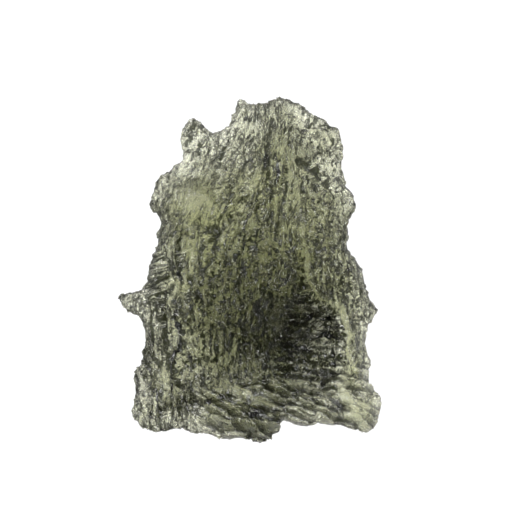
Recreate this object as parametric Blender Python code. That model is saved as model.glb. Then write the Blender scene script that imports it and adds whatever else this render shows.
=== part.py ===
"""A moldavite: one natural piece of green tektite glass, etched by the ground it lay in.

The stone lies on its back, as a collector lays it down. +Z is up, +Y points to its narrow end
and the origin is on the table, under the middle of its outline. Sizes are in millimetres and
are turned into metres when the mesh is made.

The plate is bowed, with a thin ragged edge all round. Its front has a broad ribbed swelling, a
smooth round window, a deep hollow low on the right and a scaly foot that curls up towards the
viewer. Its back is a low dome with pits and broad ribs, worn flat where it rests.
"""

import math

import bpy
import numpy as np
from mathutils import Vector, noise
from mathutils.geometry import delaunay_2d_cdt

MM = 0.001

# Driving dimensions
STONE_LENGTH = 30.0
STONE_WIDTH = 23.0
EDGE_HEIGHT = 3.4
FRONT_SWELL = 5.3
BACK_SWELL = 3.9
FOOT_LIFT = 2.2
HOLLOW_DEPTH = 4.1
HOLLOW_FLOOR = 2.6

# The outline, clockwise from the tip of the left horn, in named stretches
LEFT_HORN = [(-11.4, -2.8), (-11.5, -2.3), (-11.2, -1.9), (-10.3, -1.9), (-9.6, -1.6), (-9.0, -1.35)]
LEFT_EDGE = [
    (-8.9, -0.3), (-8.8, 0.3), (-8.6, 0.8), (-8.6, 1.4), (-8.1, 1.95), (-7.95, 2.4), (-8.25, 2.8),
    (-8.15, 3.25), (-7.8, 3.5), (-7.75, 4.4), (-8.55, 4.95), (-8.8, 5.6), (-8.55, 6.6), (-8.45, 7.2),
    (-7.95, 8.1), (-7.4, 8.5), (-6.9, 8.7), (-6.55, 9.2), (-5.9, 9.5),
]  # fmt: skip
TOP_LEFT_HORN = [
    (-5.85, 10.1), (-6.0, 10.7), (-6.15, 11.6), (-5.8, 12.55), (-5.35, 13.1), (-4.65, 13.25),
    (-4.25, 12.9), (-3.65, 12.4), (-3.15, 11.9),
]  # fmt: skip
TOP_TOOTH = [
    (-2.6, 12.2), (-2.05, 12.3), (-1.7, 12.9), (-1.75, 13.5), (-1.35, 13.7), (-1.35, 14.45), (-1.0, 15.0),
    (-0.6, 14.9), (0.1, 14.35),
]  # fmt: skip
TOP_EDGE = [(1.05, 14.5), (1.75, 14.65), (2.3, 15.0), (2.9, 15.0), (3.8, 14.6), (4.8, 14.2), (5.5, 13.5)]
RIGHT_SHOULDER = [
    (6.5, 13.1), (6.9, 12.55), (7.6, 12.4), (7.9, 12.0), (8.0, 11.3), (8.25, 10.5), (8.25, 9.9),
    (8.0, 9.2), (8.1, 8.6), (8.3, 7.9), (8.55, 7.0), (9.1, 6.5), (9.25, 5.7), (9.2, 5.1), (8.8, 4.4),
    (8.55, 3.85), (8.65, 2.9), (8.45, 2.0),
]  # fmt: skip
RIGHT_SPIKE = [
    (9.05, 1.15), (9.7, 0.25), (9.9, -0.4), (10.25, -1.95), (10.7, -2.8), (11.25, -3.4), (11.2, -3.85),
    (10.55, -4.6), (10.25, -5.2),
]  # fmt: skip
RIGHT_FOOT = [
    (10.1, -6.5), (10.45, -7.4), (10.65, -8.15), (10.35, -9.1), (10.45, -9.7), (11.0, -10.35),
    (11.5, -11.25), (11.3, -12.25), (11.1, -13.3), (10.6, -13.65), (10.05, -14.1), (9.55, -14.1),
]  # fmt: skip
BOTTOM_EDGE = [
    (9.05, -13.85), (8.4, -13.8), (7.9, -13.5), (6.9, -13.5), (6.1, -13.3), (5.45, -13.3), (4.95, -13.5),
    (4.3, -13.5), (3.65, -13.15), (2.9, -13.0), (2.65, -13.2), (2.55, -13.9), (2.15, -14.2), (2.0, -14.6),
    (1.35, -14.7), (0.75, -15.0), (0.2, -14.7), (-0.85, -14.35), (-1.25, -14.4), (-1.55, -14.75),
    (-2.25, -14.6), (-2.9, -14.5), (-3.15, -14.1), (-4.05, -14.15), (-4.8, -14.25), (-5.1, -14.05),
    (-6.2, -13.8),
]  # fmt: skip
LEFT_FOOT = [
    (-7.5, -14.15), (-8.6, -14.05), (-9.1, -13.8), (-9.6, -13.5), (-10.2, -12.7), (-10.35, -12.2),
    (-10.1, -11.5), (-9.95, -10.5), (-10.1, -9.8), (-10.2, -8.9), (-9.9, -8.4), (-9.5, -8.1),
    (-9.4, -7.5), (-9.55, -7.0), (-9.15, -6.4), (-9.05, -5.6), (-9.4, -4.8), (-9.6, -4.05),
    (-10.2, -4.05), (-10.85, -3.5),
]  # fmt: skip
OUTLINE = (
    LEFT_HORN + LEFT_EDGE + TOP_LEFT_HORN + TOP_TOOTH + TOP_EDGE
    + RIGHT_SHOULDER + RIGHT_SPIKE + RIGHT_FOOT + BOTTOM_EDGE + LEFT_FOOT
)  # fmt: skip

# The hollow low on the right, clockwise from its narrow top, and the sharp crest along its right side
HOLLOW = [
    (4.8, 0.9), (5.1, 0.1), (5.65, -1.4), (6.5, -2.8), (8.1, -3.9), (8.7, -5.6), (8.5, -6.9), (8.7, -8.8),
    (8.5, -10.3), (7.4, -10.9), (5.4, -10.4), (3.5, -9.9), (1.6, -9.3), (1.1, -8.5), (2.0, -6.9),
    (2.8, -5.2), (3.3, -3.5), (3.8, -1.8), (4.4, -0.2),
]  # fmt: skip
HOLLOW_CREST = [
    (4.9, 1.4), (5.2, -0.9), (6.2, -2.6), (7.9, -3.3), (8.8, -4.6), (9.2, -6.0), (9.0, -7.2), (9.2, -8.8),
]  # fmt: skip
WINDOW_CREVICE = [(-5.3, 3.9), (-4.2, 3.7), (-2.9, 3.3), (-1.9, 3.9), (-1.3, 4.7), (-0.9, 6.0)]
LEFT_RIB = [(-4.6, 3.0), (-4.7, 1.2), (-4.6, -1.0), (-4.3, -3.0)]

# The long valleys of the front and of the back: path, half width and depth
FRONT_GOUGES = [
    ([(-7.3, 8.0), (-7.4, 5.5), (-6.9, 3.5)], 0.50, 0.55),
    ([(-3.2, 10.2), (-2.9, 7.5), (-2.6, 5.2)], 0.45, 0.60),
    ([(0.1, 11.0), (-0.5, 7.6), (-1.4, 4.2)], 0.50, 0.60),
    ([(1.9, 10.0), (1.2, 6.2), (0.2, 2.0), (-0.2, -1.2)], 0.45, 0.50),
    ([(3.3, 8.6), (3.0, 4.8), (2.2, 0.6), (2.0, -2.4)], 0.50, 0.60),
    ([(5.2, 12.2), (5.6, 8.0), (5.2, 3.2)], 0.60, 0.70),
    ([(-5.9, 2.5), (-5.9, -2.5), (-5.6, -6.5)], 0.45, 0.55),
    ([(-3.4, 2.2), (-3.3, -2.5), (-3.0, -6.5)], 0.45, 0.50),
    ([(-7.6, -4.0), (-7.5, -8.5), (-7.2, -12.2)], 0.42, 0.60),
    ([(-6.1, -7.4), (-5.9, -12.4)], 0.38, 0.50),
    ([(-4.6, -7.8), (-4.2, -11.6)], 0.42, 0.50),
    ([(-1.1, -3.5), (-0.7, -8.4)], 0.45, 0.55),
    ([(0.9, 0.2), (0.9, -5.2)], 0.40, 0.40),
    ([(7.4, 2.6), (8.0, -0.6), (9.3, -2.2)], 0.40, 0.45),
]
BACK_GOUGES = [
    ([(-5.0, 10.4), (-5.4, 5.0), (-6.6, -1.5)], 0.70, 0.80),
    ([(-2.2, 11.6), (-2.6, 4.4), (-3.4, -3.0), (-4.6, -9.0)], 0.65, 0.70),
    ([(0.6, 12.8), (0.4, 6.0), (-0.2, 1.6)], 0.60, 0.70),
    ([(-0.6, -4.6), (-1.0, -10.6)], 0.70, 0.70),
    ([(3.2, 12.4), (3.6, 5.6), (3.9, -1.0), (4.2, -8.0)], 0.70, 0.80),
    ([(5.8, 10.6), (6.6, 3.2), (7.6, -4.4)], 0.65, 0.70),
    ([(2.0, 0.0), (1.6, -6.8)], 0.50, 0.45),
]

# The lumps of the back that the stone rests on, worn flat: middle and radii
RESTING_LUMPS = [((-4.1, 3.2), (2.5, 3.6)), ((4.7, 1.8), (2.6, 3.4)), ((0.4, -6.2), (2.8, 3.4))]
WORN_OFF = 0.12

# Relief
FRONT_TAPER = 4.6
BACK_TAPER = 6.5
LUMP_TAPER = 4.4
EDGE_ROUND = 0.68
DRIFT = 0.55
RIB_PITCH = 1.15
RIB_DEPTH = 0.16
SCALE_LENGTH = 3.0
SCALE_PITCH = 1.25
SCALE_DEPTH = 0.85
PIT_PITCH = 1.5
PIT_DEPTH = 0.55
LEDGE_PITCH = 1.6
LEDGE_DEPTH = 0.42
BACK_RIB_PITCH = 1.9
BACK_RIB_DEPTH = 0.20
WARP = 0.75
BACK_MIDDLE = (0.3, -1.0)

# Spacing of the mesh, closer across the ribs than along them, and closer in front than behind
RIM_STEP = 0.5
RIM_RINGS = (0.2, 0.55)
FRONT_STEPS = (0.36, 0.54)
BACK_STEPS = (0.52, 0.76)
LATTICE_CLEARANCE = 0.8

GLASS_COLOUR = (0.19, 0.22, 0.10, 1.0)
GLASS_ROUGHNESS = 0.12
GLASS_IOR = 1.49


def smoothstep(t):
    t = np.clip(t, 0.0, 1.0)
    return t * t * (3.0 - 2.0 * t)


def hill(x, y, middle, radii, turn_deg=0.0):
    """A smooth round rise, 1 at its middle, with its radii turned anticlockwise."""
    turn = math.radians(turn_deg)
    along = (x - middle[0]) * math.cos(turn) + (y - middle[1]) * math.sin(turn)
    across = -(x - middle[0]) * math.sin(turn) + (y - middle[1]) * math.cos(turn)
    return np.exp(-((along / radii[0]) ** 2) - (across / radii[1]) ** 2)


def distance_to_path(x, y, path, closed=False):
    """How far each point is from the nearest stretch of a path."""
    ends = path[1:] + path[:1] if closed else path[1:]
    nearest = np.full(len(x), np.inf)
    for (ax, ay), (bx, by) in zip(path, ends):
        length_squared = (bx - ax) ** 2 + (by - ay) ** 2
        share = np.clip(((x - ax) * (bx - ax) + (y - ay) * (by - ay)) / length_squared, 0.0, 1.0)
        gap = np.hypot(x - ax - share * (bx - ax), y - ay - share * (by - ay))
        nearest = np.minimum(nearest, gap)
    return nearest


def is_inside(x, y, polygon):
    inside = np.zeros(len(x), bool)
    for (ax, ay), (bx, by) in zip(polygon, polygon[1:] + polygon[:1]):
        if ay == by:
            continue
        crosses = (ay > y) != (by > y)
        inside ^= crosses & (x < ax + (y - ay) * (bx - ax) / (by - ay))
    return inside


def lumps(x, y, size, layer):
    """Smooth noise from about -1 to 1. Each layer is a different pattern."""
    return np.array([noise.noise(Vector((a / size, b / size, 7.3 * layer))) for a, b in zip(x, y)])


def cells(x, y, pitch_x, pitch_y, layer):
    """Rounded cells, 1 in the middle of each and 0 where two meet."""
    rises = []
    for a, b in zip(x / pitch_x, y / pitch_y):
        gaps = noise.voronoi(Vector((a, b, 3.7 * layer)))[0]
        rises.append(min(1.0, 1.6 * (gaps[1] - gaps[0])))
    return np.array(rises)


def plates(x, y, pitch_x, pitch_y, layer):
    """Overlapping plates: each slopes up from -0.5 to 0.5, and its low edge stands over the next."""
    slopes = []
    for a, b in zip(x / pitch_x, y / pitch_y):
        nearest = noise.voronoi(Vector((a, b, 3.7 * layer)))[1][0]
        slopes.append(nearest.y - b - 0.35 * (a - nearest.x) ** 2)
    return np.clip(slopes, -0.5, 0.5)


def walk_outline():
    """Points every RIM_STEP along the outline, which is scaled to the stone's length and width."""
    around = np.array(OUTLINE + OUTLINE[:1])
    run = np.concatenate([[0.0], np.cumsum(np.hypot(*np.diff(around, axis=0).T))])
    steps = np.arange(0.0, run[-1], RIM_STEP)
    steps[-1] = (steps[-2] + run[-1]) / 2
    walked = np.stack([np.interp(steps, run, around[:, 0]), np.interp(steps, run, around[:, 1])], axis=1)
    low, high = walked.min(axis=0), walked.max(axis=0)
    walked = (walked - (low + high) / 2) * (STONE_WIDTH, STONE_LENGTH) / (high - low)
    return [tuple(point) for point in walked.tolist()]


def inset_ring(rim, depth):
    """Points at one distance inside the rim, left out where the stone is too narrow for them."""
    points = np.array(rim)
    along = np.roll(points, -1, axis=0) - np.roll(points, 1, axis=0)
    inward = np.stack([along[:, 1], -along[:, 0]], axis=1) / np.hypot(*along.T)[:, None]
    ring = points + inward * depth
    clear = distance_to_path(ring[:, 0], ring[:, 1], rim, closed=True) > 0.8 * depth
    ring = ring[clear & is_inside(ring[:, 0], ring[:, 1], rim)]
    kept = [ring[0]]
    for point in ring[1:]:
        if np.hypot(*(np.array(kept) - point).T).min() > 0.55 * RIM_STEP:
            kept.append(point)
    return [tuple(point) for point in kept]


def lattice(rim, step_x, step_y):
    """Staggered rows of points inside the rim, each nudged a little so that no rows show."""
    xs = np.arange(-STONE_WIDTH / 2, STONE_WIDTH / 2, step_x)
    ys = np.arange(-STONE_LENGTH / 2, STONE_LENGTH / 2, step_y)
    gx, gy = np.meshgrid(xs, ys)
    gx = gx + step_x / 2 * (np.arange(len(ys)) % 2)[:, None]
    x, y = gx.ravel(), gy.ravel()
    x = x + 0.5 * step_x * lumps(x, y, 0.31, 21)
    y = y + 0.6 * step_y * lumps(x, y, 0.27, 22)
    keep = is_inside(x, y, rim) & (distance_to_path(x, y, rim, closed=True) > LATTICE_CLEARANCE)
    return list(zip(x[keep].tolist(), y[keep].tolist()))


def drifted(x, y):
    """The place that each point takes its forms from, so that no form has a ruled edge."""
    return x + DRIFT * lumps(x, y, 2.3, 31), y + DRIFT * lumps(x, y, 2.3, 32)


def across_ribs(x, y):
    """A coordinate that counts ribs: they lean right above the middle and stand upright below it."""
    lean = 0.34 * (1.0 - smoothstep(x / 5.0 + 0.1))
    bend = 0.75 * lumps(x, y, 5.0, 3) + 0.22 * lumps(x, y, 1.9, 4)
    return x - lean * np.maximum(y - 2.0, 0.0) + 0.06 * np.minimum(y + 5.0, 0.0) + bend


def rim_height(x, y):
    """Height of the thin edge over the table. The plate is bowed and its foot curls up."""
    bow = 0.55 * np.sin(0.33 * x + 0.7) + 0.5 * np.cos(0.24 * y - 0.4)
    foot = FOOT_LIFT * smoothstep((-y - 7.6) / 6.0) * (0.72 + 0.28 * smoothstep((x + 8.0) / 6.0))
    return EDGE_HEIGHT + bow + foot + 0.45 * lumps(x, y, 2.4, 1)


def front_swell(x, y):
    """The broad forms of the front, over the edge's height."""
    swell = 0.20 + 0.60 * hill(x, y, (-0.9, -2.4), (5.6, 7.2), 8.0)
    swell += 0.20 * hill(x, y, (-5.0, 6.3), (2.5, 2.3))
    swell += 0.16 * hill(x, y, (1.4, 6.0), (2.2, 5.0), -14.0)
    swell += 0.24 * hill(x, y, (4.4, 9.6), (3.2, 4.0))
    swell += 0.22 * hill(x, y, (6.6, 4.2), (2.0, 2.6))
    swell += 0.44 * hill(x, y, (8.3, -0.2), (2.2, 3.4), 20.0)
    swell += 0.30 * hill(x, y, (9.6, -8.0), (1.4, 4.0))
    swell += 0.20 * hill(x, y, (-7.5, -11.2), (2.4, 2.6))
    swell += 0.16 * hill(x, y, (9.8, -12.0), (2.0, 1.9))
    swell += 0.20 * hill(x, y, (0.4, -12.4), (4.4, 1.5), -8.0)
    swell += 0.20 * hill(x, y, (5.6, -11.8), (2.8, 1.1), -18.0)
    return FRONT_SWELL * swell


def gouged(x, y, gouges):
    """How deep the long valleys are. They run out softly at both ends."""
    cut = np.zeros(len(x))
    for path, half_width, depth in gouges:
        cut = np.maximum(cut, depth * np.exp(-((distance_to_path(x, y, path) / half_width) ** 2)))
    return cut


def front_relief(x, y):
    """Ribs, scales, pits and creases on the front, in millimetres."""
    from_foot = smoothstep((-y - 9.0 + 0.16 * x) / 1.6) * smoothstep((x + 6.0) / 2.0)
    coarse = hill(x, y, (7.0, 7.0), (2.6, 4.6))
    smooth_window = hill(x, y, (-5.0, 6.4), (1.9, 2.0))
    ribbed = (1.0 - from_foot) * (1.0 - 0.75 * coarse) * (1.0 - 0.85 * smooth_window)
    ribs = np.sin(2.0 * math.pi * across_ribs(x, y) / RIB_PITCH) * (0.75 + 0.7 * lumps(x, y, 2.6, 14))
    left_ribs = 1.0 + 1.0 * hill(x, y, (-7.2, -9.5), (2.6, 5.0))
    relief = RIB_DEPTH * ribbed * left_ribs * ribs
    tilted_x = 0.94 * x - 0.35 * y
    tilted_y = 0.35 * x + 0.94 * y
    relief += SCALE_DEPTH * from_foot * plates(tilted_x, tilted_y, SCALE_LENGTH, SCALE_PITCH, 5)
    relief += PIT_DEPTH * coarse * (cells(x, y, PIT_PITCH, PIT_PITCH, 6) - 0.7)
    relief += 0.55 * lumps(x, y, 3.0, 8) + 0.30 * lumps(x, y, 1.3, 9)
    relief -= gouged(x + 0.25 * lumps(x, y, 1.6, 16), y, FRONT_GOUGES)
    relief -= 0.85 * np.exp(-((distance_to_path(x, y, WINDOW_CREVICE) / 0.42) ** 2))
    relief += 0.45 * np.exp(-((distance_to_path(x, y, LEFT_RIB) / 0.4) ** 2))
    relief += 0.85 * np.exp(-((distance_to_path(x, y, HOLLOW_CREST) / 0.45) ** 2))
    return relief


def hollow_cut(x, y):
    """How deep the hollow is cut: a steep wall on its right, a slope on its left, ledges on its floor."""
    inset = np.where(is_inside(x, y, HOLLOW), distance_to_path(x, y, HOLLOW, closed=True), 0.0)
    from_right = np.maximum(distance_to_path(x, y, HOLLOW_CREST), 0.4)
    wall = 0.9 + 1.5 * smoothstep((from_right - 1.4) / 2.6)
    floor = HOLLOW_DEPTH * (0.62 + 0.38 * smoothstep((-y - 1.5) / 4.5))
    floor = floor * (1.0 - 0.40 * smoothstep((-y - 7.2) / 3.4))
    return floor * smoothstep(inset / wall) + ledges(x, y) * smoothstep(inset / 1.0)


def ledges(x, y):
    """How deep the steps across the hollow's floor are."""
    run = y + 0.12 * x + 0.5 * lumps(x, y, 1.9, 19)
    return LEDGE_DEPTH * np.sin(2.0 * math.pi * run / LEDGE_PITCH)


def hollow_floor(x, y):
    """The lowest that the hollow goes: its floor rises towards the foot."""
    return HOLLOW_FLOOR + 1.5 * smoothstep((-y - 6.6) / 4.4) + 0.4 * lumps(x, y, 1.1, 18) - ledges(x, y)


def back_swell(x, y):
    """The back's low dome, hollowed a little under the foot and the thin upper end."""
    dome = 0.36 + 0.54 * hill(x, y, BACK_MIDDLE, (7.8, 8.8)) + 0.20 * hill(x, y, (2.4, 8.0), (4.0, 3.6))
    dome += 0.20 * hill(x, y, (-4.6, 4.4), (2.4, 2.4)) + 0.14 * hill(x, y, (5.2, -5.6), (2.6, 3.0))
    dome += 0.12 * hill(x, y, (-6.4, -8.6), (3.0, 3.4)) + 0.24 * hill(x, y, (5.4, -7.4), (3.2, 3.4))
    return BACK_SWELL * dome


def back_relief(x, y):
    """Broad ribs that fan from the narrow end, and shallow pits between them."""
    fan = x * (1.0 - 0.02 * (y - 15.0)) + 0.9 * lumps(x, y, 6.0, 11)
    ribs = np.sin(2.0 * math.pi * fan / BACK_RIB_PITCH) * (0.7 + 0.7 * lumps(x, y, 3.1, 15))
    pits = cells(x, y, 1.7, 2.3, 12) - 0.6
    valleys = gouged(x + 0.35 * lumps(x, y, 2.4, 17), y, BACK_GOUGES)
    return BACK_RIB_DEPTH * ribs - 0.30 * pits + 0.6 * lumps(x, y, 3.4, 13) + valleys


def resting_lumps(x, y):
    """Rounded lump tops that reach WORN_OFF under the table, and rougher away from it."""
    tops = np.full(len(x), 9.0)
    for (mx, my), (rx, ry) in RESTING_LUMPS:
        tops = np.minimum(tops, 0.75 * (((x - mx) / rx) ** 2 + ((y - my) / ry) ** 2) - WORN_OFF)
    return tops + 0.6 * back_relief(x, y) * smoothstep(tops / 0.8)


def edge_rise(t):
    """From 0 on the rim to 1 where the edge's roundness ends, steepest at the rim."""
    return (1.0 - (1.0 - np.clip(t, 0.0, 1.0)) ** 2) ** EDGE_ROUND


def heights(x, y, rim):
    """Front and back heights of points that lie inside the rim or on it."""
    inset = distance_to_path(x, y, rim, closed=True)
    front_rise = edge_rise(inset / FRONT_TAPER)
    back_rise = edge_rise(inset / BACK_TAPER)
    settled = smoothstep(inset / 0.8)
    edge = rim_height(x, y)
    form_x, form_y = drifted(x, y)
    front = edge + front_swell(form_x, form_y) * front_rise + front_relief(x, y) * settled
    room = np.maximum(front - hollow_floor(form_x, form_y), 0.0)
    front = front - np.minimum(hollow_cut(form_x, form_y), room)
    back = edge - back_swell(form_x, form_y) * back_rise + back_relief(x, y) * settled
    back = np.maximum(back, 0.15 + 0.3 * (back - 0.15))
    back = np.minimum(back, edge - (edge - resting_lumps(x, y)) * edge_rise(inset / LUMP_TAPER))
    back = np.minimum(back, front - 0.8 * smoothstep(inset / 0.5))
    return front, back


def warped(points, rim):
    """The points pushed about by smooth noise, so that the forms lean and overhang a little."""
    points = np.array(points)
    inset = distance_to_path(points[:, 0], points[:, 1], rim, closed=True)
    share = WARP * smoothstep(inset / 1.5) * smoothstep(points[:, 2] / 1.5)
    layers = [Vector((4.0, 9.0, 2.0)), Vector((31.0, 5.5, 17.0)), Vector((8.5, 44.0, 23.0))]
    pushes = [[noise.noise(Vector(p) / 2.6 + layer) for layer in layers] for p in points]
    return points + share[:, None] * np.array(pushes)


def sheet(rim, steps):
    """Flat points, the rim's first, and the triangles that join them."""
    flat = list(rim)
    for depth in RIM_RINGS:
        flat += inset_ring(rim, depth)
    flat += lattice(rim, *steps)
    rim_edges = [(i, (i + 1) % len(rim)) for i in range(len(rim))]
    placed, _, faces, _, _, _ = delaunay_2d_cdt([Vector(p) for p in flat], rim_edges, [], 1, 1e-6)
    return np.array([p.x for p in placed]), np.array([p.y for p in placed]), faces


def stone_points_and_faces():
    """The front and the back as two sheets of triangles that share the rim."""
    rim = walk_outline()
    count = len(rim)
    x, y, front_faces = sheet(rim, FRONT_STEPS)
    front = heights(x, y, rim)[0]
    front[:count] = rim_height(x[:count], y[:count])
    points = list(zip(x, y, front))
    inner = len(points) - count
    x, y, back_faces = sheet(rim, BACK_STEPS)
    back = heights(x, y, rim)[1]
    points += list(zip(x[count:], y[count:], back[count:]))
    faces = [tuple(face) for face in front_faces]
    faces += [tuple(i if i < count else i + inner for i in reversed(face)) for face in back_faces]
    return warped(points, rim), faces


def settle_on_table(points):
    """Centres the stone over the origin and wears its lowest bumps flat on the table."""
    low, high = points.min(axis=0), points.max(axis=0)
    points = points - ((low[0] + high[0]) / 2, (low[1] + high[1]) / 2, 0.0)
    points[:, 2] = np.maximum(points[:, 2], 0.0)
    return points


def glass():
    material = bpy.data.materials.new("green_glass")
    material.use_nodes = True
    shader = material.node_tree.nodes["Principled BSDF"]
    shader.inputs["Base Color"].default_value = GLASS_COLOUR
    shader.inputs["Roughness"].default_value = GLASS_ROUGHNESS
    shader.inputs["Metallic"].default_value = 0.0
    shader.inputs["IOR"].default_value = GLASS_IOR
    return material


def make_moldavite(collection):
    points, faces = stone_points_and_faces()
    mesh = bpy.data.meshes.new("moldavite")
    mesh.from_pydata((settle_on_table(points) * MM).tolist(), [], faces)
    mesh.validate()
    mesh.materials.append(glass())
    stone = bpy.data.objects.new("moldavite", mesh)
    collection.objects.link(stone)
    return stone


def main():
    for old in list(bpy.data.objects):
        bpy.data.objects.remove(old)
    collection = bpy.data.collections.new("moldavite")
    bpy.context.scene.collection.children.link(collection)
    make_moldavite(collection)


main()
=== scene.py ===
# An etched piece of green natural glass, lying on its back on a pale lit table, seen from straight above.
# Lengths in the dictionaries are millimetres. Everything is turned into metres where it is used.
import math

import bmesh
import bpy
import numpy as np
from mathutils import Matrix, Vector


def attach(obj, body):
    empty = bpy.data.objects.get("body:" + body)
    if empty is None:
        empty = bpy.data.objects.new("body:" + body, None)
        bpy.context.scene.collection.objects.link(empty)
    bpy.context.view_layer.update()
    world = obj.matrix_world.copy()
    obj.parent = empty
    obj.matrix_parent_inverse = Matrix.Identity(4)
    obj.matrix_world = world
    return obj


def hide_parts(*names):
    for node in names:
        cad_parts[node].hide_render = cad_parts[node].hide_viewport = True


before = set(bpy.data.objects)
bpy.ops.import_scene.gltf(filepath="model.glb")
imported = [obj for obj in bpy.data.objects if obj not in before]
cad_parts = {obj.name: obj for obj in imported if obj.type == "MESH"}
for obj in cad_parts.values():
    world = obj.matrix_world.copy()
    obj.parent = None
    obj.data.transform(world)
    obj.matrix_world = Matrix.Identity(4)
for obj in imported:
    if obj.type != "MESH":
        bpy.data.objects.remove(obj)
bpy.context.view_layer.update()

mm = 0.001


# The stone's body: a fine, closed copy of the solid, with the facets smoothed off.
stoneBody = {
    "node": "moldavite",
    "slot": "green_glass",
    "mergeWithin": 1e-4,
    "voxel": 0.10,
    "smoothRounds": 4,
    "smoothStrength": 0.55,
    "trianglesKept": 192000,
    "frontThinned": 0.3,  # how readily the front loses faces, next to 1 for the back
}


def copyNode(name, mergeWithin):
    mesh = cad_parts[name].data.copy()
    copy = bpy.data.objects.new("etchedStone", mesh)
    bpy.context.scene.collection.objects.link(copy)
    work = bmesh.new()
    work.from_mesh(mesh)
    bmesh.ops.remove_doubles(work, verts=work.verts, dist=mergeWithin * mm)  # the node's triangles are loose
    work.to_mesh(mesh)
    work.free()
    return copy


def applyModifiers(piece):
    bpy.context.view_layer.update()
    evaluated = piece.evaluated_get(bpy.context.evaluated_depsgraph_get())
    made = bpy.data.meshes.new_from_object(evaluated)
    old = piece.data
    piece.modifiers.clear()
    piece.data = made
    bpy.data.meshes.remove(old)
    return piece


def remeshStone(piece, values):
    remesh = piece.modifiers.new("fineSkin", "REMESH")
    remesh.mode = "VOXEL"
    remesh.voxel_size = values["voxel"] * mm
    smooth = piece.modifiers.new("softFacets", "SMOOTH")
    smooth.factor = values["smoothStrength"]
    smooth.iterations = values["smoothRounds"]
    return applyModifiers(piece)


def countTriangles(piece):
    return sum(len(face.vertices) - 2 for face in piece.data.polygons)


def upwardness(mesh):
    # how far up each point's normal leans: 1 is straight up and -1 straight down
    normals = np.empty(len(mesh.vertices) * 3)
    mesh.vertices.foreach_get("normal", normals)
    return normals.reshape(-1, 3)[:, 2]


def thinOut(piece, values):
    facesUp = upwardness(piece.data) > 0.0
    group = piece.vertex_groups.new(name="thinned")
    group.add(np.flatnonzero(~facesUp).tolist(), 1.0, "REPLACE")
    group.add(np.flatnonzero(facesUp).tolist(), values["frontThinned"], "REPLACE")
    thinner = piece.modifiers.new("fewerFaces", "DECIMATE")
    thinner.ratio = min(1.0, values["trianglesKept"] / countTriangles(piece))
    thinner.vertex_group = group.name
    applyModifiers(piece)
    piece.vertex_groups.clear()
    return piece


# Where each kind of relief lies on the stone, looked down on: middles and radii, or corners.
reliefMap = {
    "window": ((-4.9, 6.3), (2.0, 2.0)),  # the smooth round place at the upper left
    "coarse": [((6.9, 7.4), (2.2, 4.6)), ((5.6, 12.0), (2.6, 1.8)), ((-4.9, 11.6), (1.4, 2.0))],
    "beaded": [((0.6, -0.6), (5.0, 4.6)), ((-2.0, -5.6), (4.0, 3.4)), ((7.9, 0.2), (1.4, 2.8))],
    "longGrooves": [((0.2, 7.0), (3.6, 5.6)), ((-5.2, -0.5), (1.8, 4.0))],
    "thickRibs": ((-7.2, -7.4), (2.6, 7.0)),
    "ladder": ((-8.4, -0.2), (1.5, 2.6)),  # short level grooves on the left edge
    "hollow": [
        (4.8, 0.9), (5.65, -1.4), (6.5, -2.8), (8.1, -3.9), (8.7, -5.6), (8.6, -8.8), (8.4, -10.3),
        (7.4, -10.9), (5.4, -10.4), (3.5, -9.9), (1.6, -9.3), (1.1, -8.5), (2.0, -6.9), (3.3, -3.5),
        (4.4, -0.2),
    ],
    "rimCell": 0.2,
    "rimWidth": 2.0,
}

# Where the kinds of relief begin, over what length they come in, and how far one holds back another.
reliefEdges = {
    "frontFrom": -0.35,  # how far up a face points where the front begins
    "frontOver": 0.5,
    "footFrom": -9.0,  # the scaly foot's upper edge, which slants
    "footSlant": 0.16,
    "footOver": 1.4,
    "footLeft": -5.6,
    "footLeftOver": 2.0,
    "hollowOver": 0.9,
    "windowPower": 0.5,
    "windowSmooth": 0.8,
    "streakSmooth": 0.5,
    "mostSmooth": 0.8,
    "coarseHoldsBack": 0.7,
    "hollowBeads": 0.8,
    "wornOver": 0.5,
}

# How the grooves run: the front's lean to the right above its middle, and the back's fan from the narrow end.
grooveRun = {
    "lean": 0.34,
    "leanOver": 5.0,
    "leanShift": 0.1,
    "leanFrom": 2.0,
    "lowLean": 0.06,
    "lowFrom": -5.0,
    "ladderFrom": 0.4,
    "ladderUp": 1.1,
    "ladderAcross": -0.3,
    "fan": 0.02,
    "fanTop": 15.0,
    "frontFrom": 0.5,
}

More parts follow.
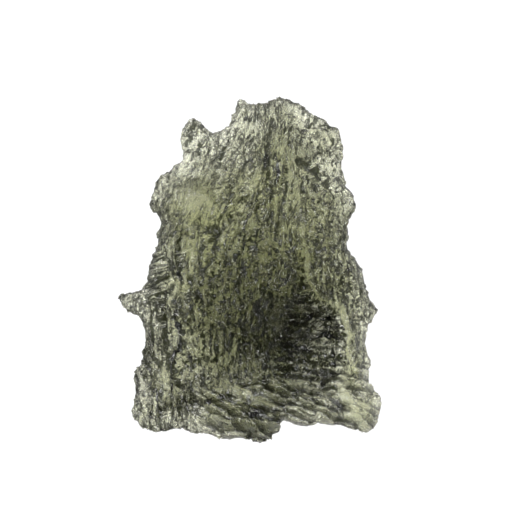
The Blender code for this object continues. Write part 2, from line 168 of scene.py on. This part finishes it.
# Lines on the stone: a path, how wide it reaches to each side, and how far it stands up or sinks.
crestLine = {
    "path": [
        (5.0, 1.6), (5.05, 0.6), (5.13, -0.94), (5.9, -2.2), (7.8, -3.3), (8.8, -5.6), (8.55, -7.0),
        (9.2, -8.8),
    ],
    "width": 0.26,
    "rise": 0.34,
}
creviceLines = [
    {"path": [(-4.7, 3.8), (-3.6, 3.4), (-2.7, 3.4), (-1.8, 4.1), (-1.4, 4.6)], "width": 0.24, "rise": -0.32},
    {"path": [(-2.9, 3.5), (-3.2, 2.2), (-3.4, 0.6)], "width": 0.28, "rise": -0.4},
    {"path": [(0.9, 9.0), (1.5, 11.2), (2.1, 12.6)], "width": 0.25, "rise": -0.4},
    {"path": [(4.4, 9.4), (6.2, 8.2), (7.4, 6.6)], "width": 0.3, "rise": -0.5},
]
smoothStreaks = [
    {"path": [(-2.9, 1.4), (-2.3, 3.0), (-1.4, 4.8)], "width": 0.42},
    {"path": [(-4.85, 2.2), (-4.7, -0.4), (-4.7, -2.4)], "width": 0.36},
    {"path": [(-0.9, 3.9), (0.2, 7.4), (1.1, 10.0), (1.8, 12.2)], "width": 0.34},
    {"path": [(2.2, 10.7), (3.2, 10.1), (3.6, 9.3)], "width": 0.7},
    {"path": [(3.9, 7.6), (4.4, 5.4), (4.7, 3.4)], "width": 0.4},
    {"path": [(-7.6, -9.0), (-7.3, -11.4)], "width": 0.5},
    {"path": [(7.9, -8.0), (8.0, -10.2), (8.8, -12.2)], "width": 0.4},
    {"path": [(-2.4, 13.5), (-0.6, 12.4), (0.9, 12.2)], "width": 0.45},
    {"path": [(6.6, 11.2), (7.6, 9.6), (7.9, 8.2)], "width": 0.5},
    {"path": crestLine["path"], "width": 0.16},
]


def smoothRise(t):
    t = np.clip(t, 0.0, 1.0)
    return t * t * (3.0 - 2.0 * t)


def hill(x, y, place):
    (middleX, middleY), (radiusX, radiusY) = place
    return np.exp(-(((x - middleX) / radiusX) ** 2) - ((y - middleY) / radiusY) ** 2)


def hills(x, y, places):
    return np.clip(sum(hill(x, y, place) for place in places), 0.0, 1.0)


def distanceTo(x, y, path):
    # how far each point lies from a path
    nearest = np.full(len(x), np.inf)
    for (ax, ay), (bx, by) in zip(path, path[1:]):
        share = ((x - ax) * (bx - ax) + (y - ay) * (by - ay)) / ((bx - ax) ** 2 + (by - ay) ** 2)
        share = np.clip(share, 0.0, 1.0)
        nearest = np.minimum(nearest, np.hypot(x - ax - share * (bx - ax), y - ay - share * (by - ay)))
    return nearest


def insideBy(x, y, polygon):
    # how far inside a polygon each point lies, 0 outside it
    closed = polygon + polygon[:1]
    inside = np.zeros(len(x), bool)
    for (ax, ay), (bx, by) in zip(closed, closed[1:]):
        if ay != by:
            inside ^= ((ay > y) != (by > y)) & (x < ax + (y - ay) * (bx - ax) / (by - ay))
    return np.where(inside, distanceTo(x, y, closed), 0.0)


def closeTo(x, y, line):
    # 1 on a line, falling off to 0 past its width
    return np.exp(-((distanceTo(x, y, line["path"]) / line["width"]) ** 2))


def fromOutline(x, y, cell, reach):
    # how far each point lies inside the stone's outline as seen from above, up to a reach
    margin = 2  # empty cells outside the stone
    column = ((x - x.min()) / cell).astype(int) + margin
    row = ((y - y.min()) / cell).astype(int) + margin
    filled = np.zeros((row.max() + margin + 1, column.max() + margin + 1))
    filled[row, column] = 1.0
    depth = filled.copy()
    for ring in range(int(reach / cell)):
        sides = [filled[:-2, 1:-1], filled[2:, 1:-1], filled[1:-1, :-2], filled[1:-1, 2:]]
        filled[1:-1, 1:-1] = np.minimum.reduce([filled[1:-1, 1:-1], *sides])
        depth += filled
    steps = (-1, 0, 1)
    soft = sum(np.roll(depth, (up, along), (0, 1)) for up in steps for along in steps) / len(steps) ** 2
    return soft[row, column] * cell


def grooveLines(x, y, front, run):
    # a coordinate that counts millimetres across the grooves
    lean = run["lean"] * (1.0 - smoothRise(x / run["leanOver"] + run["leanShift"]))
    line = x - lean * np.maximum(y - run["leanFrom"], 0.0)
    line = line + run["lowLean"] * np.minimum(y - run["lowFrom"], 0.0)
    level = run["ladderUp"] * y + run["ladderAcross"] * x
    line = np.where(hill(x, y, reliefMap["ladder"]) > run["ladderFrom"], level, line)
    fan = x * (1.0 - run["fan"] * (y - run["fanTop"]))
    return np.where(front > run["frontFrom"], line, fan)


def markRelief(piece, edges):
    mesh = piece.data
    points = np.empty(len(mesh.vertices) * 3)
    mesh.vertices.foreach_get("co", points)
    x, y, z = points.reshape(-1, 3).T / mm
    front = smoothRise((upwardness(mesh) - edges["frontFrom"]) / edges["frontOver"])
    foot = smoothRise((-y + edges["footFrom"] + edges["footSlant"] * x) / edges["footOver"])
    foot = foot * smoothRise((x - edges["footLeft"]) / edges["footLeftOver"])
    hollow = smoothRise(insideBy(x, y, reliefMap["hollow"]) / edges["hollowOver"])
    window = hill(x, y, reliefMap["window"]) ** edges["windowPower"]
    coarse = hills(x, y, reliefMap["coarse"])
    streaks = np.clip(sum(closeTo(x, y, streak) for streak in smoothStreaks), 0.0, 1.0)
    rimWidth = reliefMap["rimWidth"]
    rim = 1.0 - smoothRise(fromOutline(x, y, reliefMap["rimCell"], rimWidth) / rimWidth)
    smooth = edges["windowSmooth"] * window + edges["streakSmooth"] * streaks
    beaded = np.clip(hills(x, y, reliefMap["beaded"]) + edges["hollowBeads"] * hollow, 0.0, 1.0)
    rises = sum(line["rise"] * closeTo(x, y, line) for line in creviceLines + [crestLine])
    marks = {
        "grooveLine": grooveLines(x, y, front, grooveRun),
        "grooved": front * (1.0 - foot) * (1.0 - hollow) * (1.0 - edges["coarseHoldsBack"] * coarse),
        "longGrooves": front * hills(x, y, reliefMap["longGrooves"]),
        "beaded": front * (1.0 - foot) * beaded,
        "thickRibs": front * hill(x, y, reliefMap["thickRibs"]),
        "coarse": front * coarse,
        "scaly": front * foot * (1.0 - hollow),
        "hollow": front * hollow,
        "rim": rim,
        "lines": front * rises,
        "smooth": np.clip(smooth, 0.0, edges["mostSmooth"]) * (1.0 - rim),
        "backSide": 1.0 - front,
        "worn": 1.0 - smoothRise(z / edges["wornOver"]),
    }
    for name, values in marks.items():
        mesh.attributes.new(name, "FLOAT", "POINT").data.foreach_set("value", values.astype(np.float32))
    return piece


# The etched relief, which a Geometry Nodes tree makes: its inputs.
etching = {
    "Groove Spacing": 0.50,
    "Groove Depth": 0.32,
    "Rib Spacing": 1.07,
    "Rib Depth": 0.50,
    "Bead Size": 0.46,
    "Bead Depth": 0.40,
    "Pit Size": 1.05,
    "Pit Depth": 0.34,
    "Plate Size": 0.62,
    "Plate Depth": 0.62,
    "Facet Size": 0.38,
    "Facet Depth": 0.36,
    "Back Facets": 1.2,
    "Crease Size": 0.70,
    "Crease Depth": 0.20,
    "Scale Length": 1.9,
    "Scale Width": 0.80,
    "Scale Depth": 0.56,
    "Ledge Spacing": 0.66,
    "Ledge Depth": 0.60,
    "Grain Size": 0.42,
    "Grain Depth": 0.12,
    "Rim Calm": 0.6,
    "Seed": 7.0,
}

# The forms of the relief. A noise is its scale, its detail and its share, and places give each place's share.
etchingForm = {
    "wanderWide": (0.22, 1.0, 0.9),
    "wanderFine": (0.9, 2.0, 0.22),
    "strengthPlace": (1.3, 0.28, 0.2),  # how fast the grooves' depth changes across, along and through them
    "strength": (1.0, 1.0, 0.9),
    "strengthMiddle": 0.75,
    "strengthLeast": 0.1,
    "ribPlaces": {"thickRibs": 1.0, "longGrooves": 0.6},
    "ribShift": 0.3,
    "backRibs": 0.8,  # their spacing and depth, next to the front's
    "stretch": (0.55, 0.7),  # what is along the grooves, and through them, is drawn out by this
    "beadMiddle": 0.45,
    "beadPlaces": {"beaded": 1.0, "backSide": 0.7},
    "bendScale": 0.8,
    "pitMiddle": 0.5,
    "pitPlaces": {"coarse": 1.0, "backSide": 0.35},
    "pitsElsewhere": 0.12,
    "awayFromRim": {"rim": -0.75},
    "platePlaces": {"coarse": 1.0, "backSide": 0.6},
    "facetPlaces": {"rim": -0.75, "hollow": -0.5, "scaly": -0.6},
    "creaseWidth": 0.2,
    "creaseMiddle": 0.8,
    "creasePlaces": {"rim": 1.0, "coarse": 0.5, "backSide": 0.4},
    "creasesInScales": {"scaly": -0.7},
    "scaleTurn": (0.94, 0.35),  # the cosine and sine of the scales' slant
    "scaleWander": (0.6, 1.0, 0.35),
    "scaleSlope": (0.1, 1.2, 0.0),
    "scaleRound": -0.7,
    "ledgeSlant": 0.10,
    "ledgeWander": (0.7, 2.0, 0.35),
    "grainDetail": 3.0,
    "grainRoughness": 0.6,
    "smoothPlaces": {"smooth": -0.78},
}


class Bench:
    # short words for adding nodes to a tree
    def __init__(self, tree):
        self.tree = tree

    def add(self, kind, **settings):
        node = self.tree.nodes.new(kind)
        for name, value in settings.items():
            setattr(node, name, value)
        return node

    def join(self, source, target):
        if hasattr(source, "links"):
            self.tree.links.new(source, target)
        else:
            target.default_value = source

    def math(self, operation, *terms, clamp=False):
        node = self.add("ShaderNodeMath", operation=operation, use_clamp=clamp)
        for term, socket in zip(terms, node.inputs):
            self.join(term, socket)
        return node.outputs[0]

    def plus(self, first, second):
        return self.math("ADD", first, second)

    def times(self, first, second):
        return self.math("MULTIPLY", first, second)

    def over(self, first, second):
        return self.math("DIVIDE", first, second)

    def vector(self, x, y, z):
        node = self.add("ShaderNodeCombineXYZ")
        for term, socket in zip((x, y, z), node.inputs):
            self.join(term, socket)
        return node.outputs[0]

    def blend(self, operation, first, second):
        node = self.add("ShaderNodeVectorMath", operation=operation)
        self.join(first, node.inputs[0])
        self.join(second, node.inputs[1])
        return node.outputs["Value" if operation == "DOT_PRODUCT" else "Vector"]

    def mark(self, name):  # a place that markRelief wrote, in either kind of tree
        if self.tree.bl_idname == "ShaderNodeTree":
            return self.add("ShaderNodeAttribute", attribute_name=name).outputs["Fac"]
        node = self.add("GeometryNodeInputNamedAttribute", data_type="FLOAT")
        node.inputs["Name"].default_value = name
        return next(out for out in node.outputs if out.enabled and out.name == "Attribute")

    def places(self, shares, elsewhere=0.0):  # a sum of marks, each with its share
        total = elsewhere
        for name, share in shares.items():
            total = self.plus(total, self.times(self.mark(name), share))
        return total

    def noise(self, place, scale, detail, roughness=0.5):  # from about -1 to 1
        node = self.add("ShaderNodeTexNoise", noise_dimensions="3D")
        self.join(place, node.inputs["Vector"])
        self.join(scale, node.inputs["Scale"])
        node.inputs["Detail"].default_value = detail
        node.inputs["Roughness"].default_value = roughness
        return self.math("MULTIPLY_ADD", node.outputs[0], 2.0, -1.0)

    def wander(self, place, values):
        scale, detail, share = values
        return self.times(self.noise(place, scale, detail), share)

    def voronoi(self, place, feature="F1"):
        node = self.add("ShaderNodeTexVoronoi", voronoi_dimensions="3D", feature=feature)
        self.join(place, node.inputs["Vector"])
        node.inputs["Scale"].default_value = 1.0
        return node.outputs

    def cells(self, place, feature="F1", outlet="Distance"):
        return self.voronoi(place, feature)[outlet]

    def plates(self, place, lean=None):  # flat plates with steps between, leant alike or each its own way
        plate = self.voronoi(place)
        slope = lean or self.blend("SUBTRACT", plate["Color"], (0.5, 0.5, 0.5))
        return self.blend("DOT_PRODUCT", self.blend("SUBTRACT", place, plate["Position"]), slope)

    def furrow(self, across, spacing):  # 1 in round valleys and 0 at the sharp crests between them
        return self.math("ABSOLUTE", self.math("SINE", self.times(self.over(across, spacing), math.pi)))


def buildEtchingTree(values, form):
    tree = bpy.data.node_groups.new("etchedRelief", "GeometryNodeTree")
    tree.interface.new_socket("Geometry", in_out="INPUT", socket_type="NodeSocketGeometry")
    tree.interface.new_socket("Glass", in_out="INPUT", socket_type="NodeSocketMaterial")
    for name, value in values.items():
        tree.interface.new_socket(name, in_out="INPUT", socket_type="NodeSocketFloat").default_value = value
    tree.interface.new_socket("Geometry", in_out="OUTPUT", socket_type="NodeSocketGeometry")
    bench = Bench(tree)
    plus, times, over = bench.plus, bench.times, bench.over
    given = bench.add("NodeGroupInput").outputs

    position = bench.add("GeometryNodeInputPosition").outputs[0]
    place = bench.blend("MULTIPLY", position, (1.0 / mm,) * 3)
    place = bench.blend("ADD", place, bench.vector(0.0, 0.0, given["Seed"]))  # millimetres, moved by the seed
    split = bench.add("ShaderNodeSeparateXYZ")
    bench.join(place, split.inputs[0])
    x, y, z = split.outputs

    def sized(vector, size):
        return bench.blend("DIVIDE", vector, bench.vector(size, size, size))

    line = plus(bench.wander(place, form["wanderWide"]), bench.wander(place, form["wanderFine"]))
    line = plus(bench.mark("grooveLine"), line)
    alongPlace = bench.vector(*(times(term, pace) for term, pace in zip((line, y, z), form["strengthPlace"])))
    strength = plus(bench.wander(alongPlace, form["strength"]), form["strengthMiddle"])
    strength = bench.math("MAXIMUM", strength, form["strengthLeast"])
    grooves = times(bench.furrow(line, given["Groove Spacing"]), times(given["Groove Depth"], -1.0))
    grooves = times(times(grooves, strength), bench.mark("grooved"))

    narrow = bench.furrow(plus(line, form["ribShift"]), given["Rib Spacing"])
    narrow = times(times(narrow, narrow), narrow)
    ribs = times(times(narrow, times(given["Rib Depth"], -1.0)), bench.places(form["ribPlaces"]))
    backRibs = bench.furrow(line, times(given["Rib Spacing"], form["backRibs"]))
    backRibs = times(times(backRibs, times(given["Rib Depth"], -form["backRibs"])), bench.mark("backSide"))

    alongY, alongZ = form["stretch"]
    alongGrooves = bench.vector(line, times(y, alongY), times(z, alongZ))
    beads = bench.cells(sized(alongGrooves, given["Bead Size"]))  # round hollows
    beads = bench.math("SUBTRACT", beads, form["beadMiddle"])
    beads = times(times(beads, given["Bead Depth"]), bench.places(form["beadPlaces"]))

    turn = bench.add("ShaderNodeTexNoise", noise_dimensions="3D")
    bench.join(place, turn.inputs["Vector"])
    turn.inputs["Scale"].default_value = form["bendScale"]
    bent = bench.blend("ADD", place, turn.outputs[1])
    pits = bench.math("SUBTRACT", bench.cells(sized(bent, given["Pit Size"])), form["pitMiddle"])
    pitPlaces = plus(bench.places(form["pitPlaces"]), form["pitsElsewhere"])
    pits = times(times(pits, given["Pit Depth"]), pitPlaces)
    platePlaces = times(bench.places(form["platePlaces"]), bench.places(form["awayFromRim"], 1.0))
    plates = times(times(bench.plates(sized(bent, given["Plate Size"])), given["Plate Depth"]), platePlaces)

    facetPlaces = bench.places({**form["facetPlaces"], "backSide": given["Back Facets"]}, 1.0)
    facets = times(bench.plates(sized(alongGrooves, given["Facet Size"])), given["Facet Depth"])
    facets = times(facets, facetPlaces)

    creases = bench.cells(sized(bent, given["Crease Size"]), "DISTANCE_TO_EDGE")
    creases = times(bench.math("MINIMUM", creases, form["creaseWidth"]), 1.0 / form["creaseWidth"])
    creases = times(bench.math("SUBTRACT", creases, form["creaseMiddle"]), given["Crease Depth"])
    creasePlaces = times(bench.places(form["creasePlaces"]), bench.places(form["creasesInScales"], 1.0))
    creases = times(creases, creasePlaces)

    cosine, sine = form["scaleTurn"]
    tiltX = plus(times(x, cosine), times(y, -sine))
    tiltY = plus(plus(times(x, sine), times(y, cosine)), bench.wander(place, form["scaleWander"]))
    scalePlace = bench.vector(over(tiltX, given["Scale Length"]), over(tiltY, given["Scale Width"]), 0.0)
    scales = times(bench.cells(scalePlace), form["scaleRound"])
    scales = plus(bench.plates(scalePlace, form["scaleSlope"]), scales)  # they overlap
    scales = times(times(scales, given["Scale Depth"]), bench.mark("scaly"))

    ledgeRun = plus(plus(y, times(x, form["ledgeSlant"])), bench.wander(place, form["ledgeWander"]))
    ledges = times(bench.furrow(ledgeRun, given["Ledge Spacing"]), times(given["Ledge Depth"], -1.0))
    ledges = times(ledges, bench.mark("hollow"))

    grain = bench.noise(place, over(1.0, given["Grain Size"]), form["grainDetail"], form["grainRoughness"])
    grain = times(grain, given["Grain Depth"])

    relief = grooves
    for layer in (ribs, backRibs, beads, pits, plates, facets, creases, scales, ledges, grain):
        relief = plus(relief, layer)
    relief = plus(times(relief, bench.places(form["smoothPlaces"], 1.0)), bench.mark("lines"))
    relief = times(relief, bench.math("SUBTRACT", 1.0, bench.mark("worn")))
    calm = bench.math("SUBTRACT", 1.0, times(bench.mark("rim"), given["Rim Calm"]))
    push = bench.add("ShaderNodeVectorMath", operation="SCALE")
    bench.join(bench.add("GeometryNodeInputNormal").outputs[0], push.inputs[0])
    bench.join(times(times(relief, calm), mm), push.inputs["Scale"])
    move = bench.add("GeometryNodeSetPosition")
    bench.join(given["Geometry"], move.inputs["Geometry"])
    bench.join(push.outputs[0], move.inputs["Offset"])
    keep = bench.add("GeometryNodeStoreNamedAttribute", data_type="FLOAT", domain="POINT")
    bench.join(move.outputs[0], keep.inputs["Geometry"])
    keep.inputs["Name"].default_value = "etchDepth"  # without the rim's calm, for the glass's painted shade
    bench.join(relief, keep.inputs["Value"])
    realize = bench.add("GeometryNodeRealizeInstances")
    bench.join(keep.outputs[0], realize.inputs[0])
    finish = bench.add("GeometryNodeSetMaterial")
    bench.join(realize.outputs[0], finish.inputs["Geometry"])
    bench.join(given["Glass"], finish.inputs["Material"])
    bench.join(finish.outputs[0], bench.add("NodeGroupOutput").inputs[0])
    return tree


def etchStone(piece, glass, values, form):
    tree = buildEtchingTree(values, form)
    modifier = piece.modifiers.new("etching", "NODES")
    modifier.node_group = tree
    for item in tree.interface.items_tree:
        if item.in_out == "INPUT" and item.name in values:
            modifier[item.identifier] = values[item.name]
        elif item.in_out == "INPUT" and item.name == "Glass":
            modifier[item.identifier] = glass
    applyModifiers(piece)
    piece.data.materials.clear()
    piece.data.materials.append(glass)
    return piece


# The glass. Its tint is painted shade that darkens with the depth of the etching, as the shade in narrow
# valleys darkens the real stone.
glassValues = {
    "crestColour": (0.98, 0.985, 0.82, 1.0),
    "valleyShadeColour": (0.005, 0.006, 0.0015, 1.0),
    "valleyFrom": -0.12,  # etched depths between which the painted shade goes from the crest's clear tint to the valley's dark
    "valleyTo": -0.74,
    "tintPower": 3.0,
    "ior": 1.49,
    "roughness": 0.16,
    "smoothDulled": 0.10,
    "absorb": (0.48, 0.50, 0.20, 1.0),
    "density": 290.0,  # of the absorption, for each metre
    "lineSpacing": 0.27,  # the finest etching, which is too small for the mesh
    "lineDepth": 0.025,
    "lineWander": (0.8, 3.0, 0.30),
    "lineBreaks": (1.3, 1.0, 0.9),
    "lineMiddle": 0.55,
    "lineless": {"coarse": -1.0, "backSide": -1.0},
    "veinSize": (0.50, 1.05, 0.9),
    "veinScales": ((1.3, 1.0), (3.2, 0.7)),  # each scale's share
    "veinWidth": 0.17,
    "veinDepth": 0.05,
    "veinPlaces": {"hollow": -0.6, "scaly": -0.6},
    "finePlaces": {"smooth": -0.5},
    "fineLineShade": 5.0,  # how much painted shade the finest etching adds, more than its depth alone would give
    "chipSize": (0.29, 0.42, 0.42),
    "chipDepth": 0.30,
    "chipTurn": (3.2, 1.0, 1.0),
    "chipWobble": 0.12,
    "chipPlaces": {"beaded": 0.7},
    "chipsElsewhere": 0.3,
    # painted glints and shade on the chips, lighter or darker at random from chip to chip
    "chipGlintShade": 0.8,
    "chipGlintShadePlaces": {"beaded": 0.9, "smooth": -0.6, "scaly": -0.6, "rim": -0.6},
    "patchSize": 0.50,  # angular patches of painted light and shade, each lighter or darker than the next
    "patchTurn": (1.1, 3.0, 0.7),
    "patchMiddle": 0.45,
    "patchLightShade": 1.5,
    "patchEdge": 0.10,
    "patchEdgeShade": 0.4,
    "streakSize": (0.62, 3.6, 3.0),
    "streaks": (1.0, 2.0, 0.34),
    "clouds": (0.32, 1.0, 0.10),
    # painted shade in the hollow and the beaded middle; painted light on the rims, coarse patches, smooth
    # places, long grooves and the back
    "placeLightAndShade": {
        "hollow": -0.07, "beaded": -0.04, "rim": 0.09, "coarse": 0.03, "smooth": 0.10, "longGrooves": 0.08,
        "backSide": 0.38,
    },
}


def fineEtching(bench, alongGrooves, line, place, values):
    # fine lines beside the grooves and wandering cracks, in millimetres, all below 0
    furrows = bench.times(bench.furrow(line, values["lineSpacing"]), -values["lineDepth"])
    breaks = bench.math("ADD", bench.wander(place, values["lineBreaks"]), values["lineMiddle"], clamp=True)
    breaks = bench.times(breaks, bench.math("MAXIMUM", bench.places(values["lineless"], 1.0), 0.0))
    cracks = 0.0
    for scale, share in values["veinScales"]:
        vein = bench.noise(bench.blend("DIVIDE", alongGrooves, values["veinSize"]), scale, 1.0)
        vein = bench.math("DIVIDE", bench.math("ABSOLUTE", vein), values["veinWidth"], clamp=True)
        cracks = bench.plus(cracks, bench.times(bench.math("SUBTRACT", vein, 1.0), share))
    cracks = bench.times(bench.times(cracks, values["veinDepth"]), bench.places(values["veinPlaces"], 1.0))
    fine = bench.plus(bench.times(furrows, breaks), cracks)
    return bench.times(fine, bench.places(values["finePlaces"], 1.0))


def chipped(bench, alongGrooves, wobble, values):
    # small flat chips: the height of each, and the painted glint or shade that makes each lighter or darker
    # at random
    push = bench.vector(bench.times(wobble, values["chipWobble"]), wobble, 0.0)
    place = bench.blend("DIVIDE", bench.blend("ADD", alongGrooves, push), values["chipSize"])
    heights = bench.times(bench.plates(place), values["chipDepth"])
    heights = bench.times(heights, bench.places(values["chipPlaces"], values["chipsElsewhere"]))
    paintedLightAndShade = bench.times(bench.math("SUBTRACT", bench.cells(place, outlet="Color"), 0.5), values["chipGlintShade"])
    glintShadePlaces = bench.math("MAXIMUM", bench.places(values["chipGlintShadePlaces"], 1.0), 0.0)
    return heights, bench.times(paintedLightAndShade, glintShadePlaces)


def patched(bench, place, wobble, values):
    # angular patches of painted light and shade with painted dark edges, where the relief is coarse
    turn = bench.wander(place, values["patchTurn"])
    bent = bench.blend("DIVIDE", place, (values["patchSize"],) * 3)
    bent = bench.blend("ADD", bent, bench.vector(turn, wobble, turn))
    paintedLightAndShade = bench.math("SUBTRACT", bench.cells(bent, outlet="Color"), values["patchMiddle"])
    # painted shade along the patches' edges
    edges = bench.math("DIVIDE", bench.cells(bent, "DISTANCE_TO_EDGE"), values["patchEdge"], clamp=True)
    edges = bench.times(bench.math("SUBTRACT", edges, 1.0), values["patchEdgeShade"])
    return bench.times(bench.plus(bench.times(paintedLightAndShade, values["patchLightShade"]), edges), bench.mark("coarse"))


def makeGlass(values):
    glass = bpy.data.materials.new("greenGlass")
    glass.use_nodes = True
    bench = Bench(glass.node_tree)
    shader = glass.node_tree.nodes["Principled BSDF"]
    shader.inputs["Metallic"].default_value = 0.0
    shader.inputs["IOR"].default_value = values["ior"]
    shader.inputs["Transmission Weight"].default_value = 1.0
    place = bench.blend("DIVIDE", bench.add("ShaderNodeTexCoord").outputs["Object"], (mm, mm, mm))
    split = bench.add("ShaderNodeSeparateXYZ")
    bench.join(place, split.inputs[0])
    line = bench.plus(bench.mark("grooveLine"), bench.wander(place, values["lineWander"]))
    alongGrooves = bench.vector(line, split.outputs[1], split.outputs[2])
    wobble = bench.wander(place, values["chipTurn"])
    fine = fineEtching(bench, alongGrooves, line, place, values)
    chipHeights, chipGlintsAndShade = chipped(bench, alongGrooves, wobble, values)

    dulled = bench.math("MULTIPLY_ADD", bench.mark("smooth"), values["smoothDulled"], values["roughness"])
    bench.join(dulled, shader.inputs["Roughness"])
    bump = bench.add("ShaderNodeBump")
    bump.inputs["Strength"].default_value = 1.0
    bump.inputs["Distance"].default_value = mm
    bench.join(bench.plus(fine, chipHeights), bump.inputs["Height"])
    bench.join(bump.outputs[0], shader.inputs["Normal"])

    streakPlace = bench.blend("DIVIDE", alongGrooves, values["streakSize"])
    # painted shade: deeper etching and the finest lines darken the glass, with the chips', patches' and
    # places' painted light and shade, and random streaks and clouds
    paintedShadeDepth = bench.plus(bench.mark("etchDepth"), bench.times(fine, values["fineLineShade"]))
    for layer in (
        chipGlintsAndShade,
        patched(bench, place, wobble, values),
        bench.wander(streakPlace, values["streaks"]),
        bench.wander(place, values["clouds"]),
        bench.places(values["placeLightAndShade"]),
    ):
        paintedShadeDepth = bench.plus(paintedShadeDepth, layer)
    share = bench.add("ShaderNodeMapRange")
    bench.join(paintedShadeDepth, share.inputs["Value"])
    share.inputs["From Min"].default_value = values["valleyTo"]
    share.inputs["From Max"].default_value = values["valleyFrom"]
    paintedShadeTint = bench.add("ShaderNodeMix", data_type="RGBA")
    shadeSocket, crestSocket = paintedShadeTint.inputs[6], paintedShadeTint.inputs[7]  # its two colours
    bench.join(bench.math("POWER", share.outputs[0], values["tintPower"]), paintedShadeTint.inputs["Factor"])
    shadeSocket.default_value = values["valleyShadeColour"]
    crestSocket.default_value = values["crestColour"]
    bench.join(paintedShadeTint.outputs[2], shader.inputs["Base Color"])

    volume = bench.add("ShaderNodeVolumeAbsorption")
    volume.inputs["Color"].default_value = values["absorb"]
    volume.inputs["Density"].default_value = values["density"]
    bench.join(volume.outputs[0], glass.node_tree.nodes["Material Output"].inputs["Volume"])
    return glass


table = {
    "size": 1200.0,
    "under": 0.02,  # how far it lies under the stone
    "tone": 0.05,
    "roughness": 0.9,
    "glow": 1.03,
    "farGlow": 0.45,
    "glowFrom": 36.0,  # distances between which the glow fades
    "glowTo": 144.0,
    "shade": 0.03,  # what is left of the light right under the stone: a painted shadow of the stone in the table's glow and colour
    "shadeMiddle": (2.2, -4.8),
    "shadeReach": (7.4, 9.2),
    "shadeFrom": 0.2,  # shares of that reach between which the light comes back
    "shadeTo": 1.0,
}
lamps = [
    {"name": "softAbove", "place": (-130.0, 170.0, 280.0), "size": 300.0, "power": 3.4},
    {"name": "fillRight", "place": (240.0, -60.0, 180.0), "size": 160.0, "power": 0.9},
]
lens = {
    "frame": 43.95,
    "middle": (0.58, 1.12),
    "height": 5.0,
    "focal": 150.0,
    "sensor": 36.0,
    "near": 5.0,
    "far": 20000.0,
}
roomLight = (0.06, 0.062, 0.065, 1.0)


def ramp(bench, vector, kind, spans):
    # the vector's length, which goes from one span to another
    (fromLow, fromHigh), (toLow, toHigh) = spans
    length = bench.add("ShaderNodeVectorMath", operation="LENGTH")
    bench.join(vector, length.inputs[0])
    node = bench.add("ShaderNodeMapRange", interpolation_type=kind)
    bench.join(length.outputs["Value"], node.inputs["Value"])
    node.inputs["From Min"].default_value = fromLow
    node.inputs["From Max"].default_value = fromHigh
    node.inputs["To Min"].default_value = toLow
    node.inputs["To Max"].default_value = toHigh
    return node.outputs[0]


def makeTable(values):
    half = values["size"] / 2 * mm
    corners = [(-half, -half, 0), (half, -half, 0), (half, half, 0), (-half, half, 0)]
    mesh = bpy.data.meshes.new("litTable")
    mesh.from_pydata(corners, [], [(0, 1, 2, 3)])
    top = bpy.data.objects.new("litTable", mesh)
    bpy.context.scene.collection.objects.link(top)
    top.location.z = -values["under"] * mm
    paint = bpy.data.materials.new("litTable")
    paint.use_nodes = True
    bench = Bench(paint.node_tree)
    shader = paint.node_tree.nodes["Principled BSDF"]
    shader.inputs["Roughness"].default_value = values["roughness"]
    shader.inputs["Emission Color"].default_value = (1.0, 1.0, 1.0, 1.0)
    place = bench.add("ShaderNodeTexCoord").outputs["Object"]
    glowSpan = (values["glowFrom"] * mm, values["glowTo"] * mm)
    fade = ramp(bench, place, "SMOOTHERSTEP", (glowSpan, (values["glow"], values["farGlow"])))
    (middleX, middleY), (reachX, reachY) = values["shadeMiddle"], values["shadeReach"]
    offset = bench.blend("SUBTRACT", place, (middleX * mm, middleY * mm, 0.0))
    offset = bench.blend("DIVIDE", offset, (reachX * mm, reachY * mm, 1.0))
    shadeSpan = (values["shadeFrom"], values["shadeTo"])
    # painted shadow under the stone, in the table's glow and its colour
    paintedShadowLift = ramp(bench, offset, "SMOOTHSTEP", (shadeSpan, (values["shade"], 1.0)))
    bench.join(bench.times(fade, paintedShadowLift), shader.inputs["Emission Strength"])
    bench.join(bench.times(paintedShadowLift, values["tone"]), shader.inputs["Base Color"])
    mesh.materials.append(paint)
    return top


def makeLamp(values):
    light = bpy.data.lights.new(values["name"], "AREA")
    light.size = values["size"] * mm
    light.energy = values["power"]
    lamp = bpy.data.objects.new(values["name"], light)
    lamp.location = Vector(values["place"]) * mm
    lamp.rotation_euler = (-lamp.location).to_track_quat("-Z", "Y").to_euler()
    bpy.context.scene.collection.objects.link(lamp)
    return lamp


def makeCamera(values):
    view = bpy.data.cameras.new("fromAbove")
    view.lens = values["focal"]
    view.sensor_width = values["sensor"]
    view.clip_start = values["near"] * mm
    view.clip_end = values["far"] * mm
    camera = bpy.data.objects.new("fromAbove", view)
    distance = values["frame"] * values["focal"] / values["sensor"]
    camera.location = Vector((*values["middle"], values["height"] + distance)) * mm
    camera.rotation_euler = (0.0, 0.0, 0.0)
    bpy.context.scene.collection.objects.link(camera)
    bpy.context.scene.camera = camera
    return camera


def makeRoom(colour):
    world = bpy.data.worlds.new("dimRoom")
    world.use_nodes = True
    world.node_tree.nodes["Background"].inputs["Color"].default_value = colour
    world.node_tree.nodes["Background"].inputs["Strength"].default_value = 1.0
    bpy.context.scene.world = world
    return world


stone = remeshStone(copyNode(stoneBody["node"], stoneBody["mergeWithin"]), stoneBody)
print("stone remeshed:", len(stone.data.vertices), "points")
markRelief(stone, reliefEdges)
etchStone(stone, makeGlass(glassValues), etching, etchingForm)
thinOut(stone, stoneBody)
stone.data.polygons.foreach_set("use_smooth", [True] * len(stone.data.polygons))
print("stone etched:", countTriangles(stone), "triangles")
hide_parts(stoneBody["node"])
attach(stone, "root")

makeTable(table)
for lampValues in lamps:
    makeLamp(lampValues)
makeRoom(roomLight)
makeCamera(lens)
bpy.context.scene.view_settings.view_transform = "Standard"
print("table, lights and camera set")
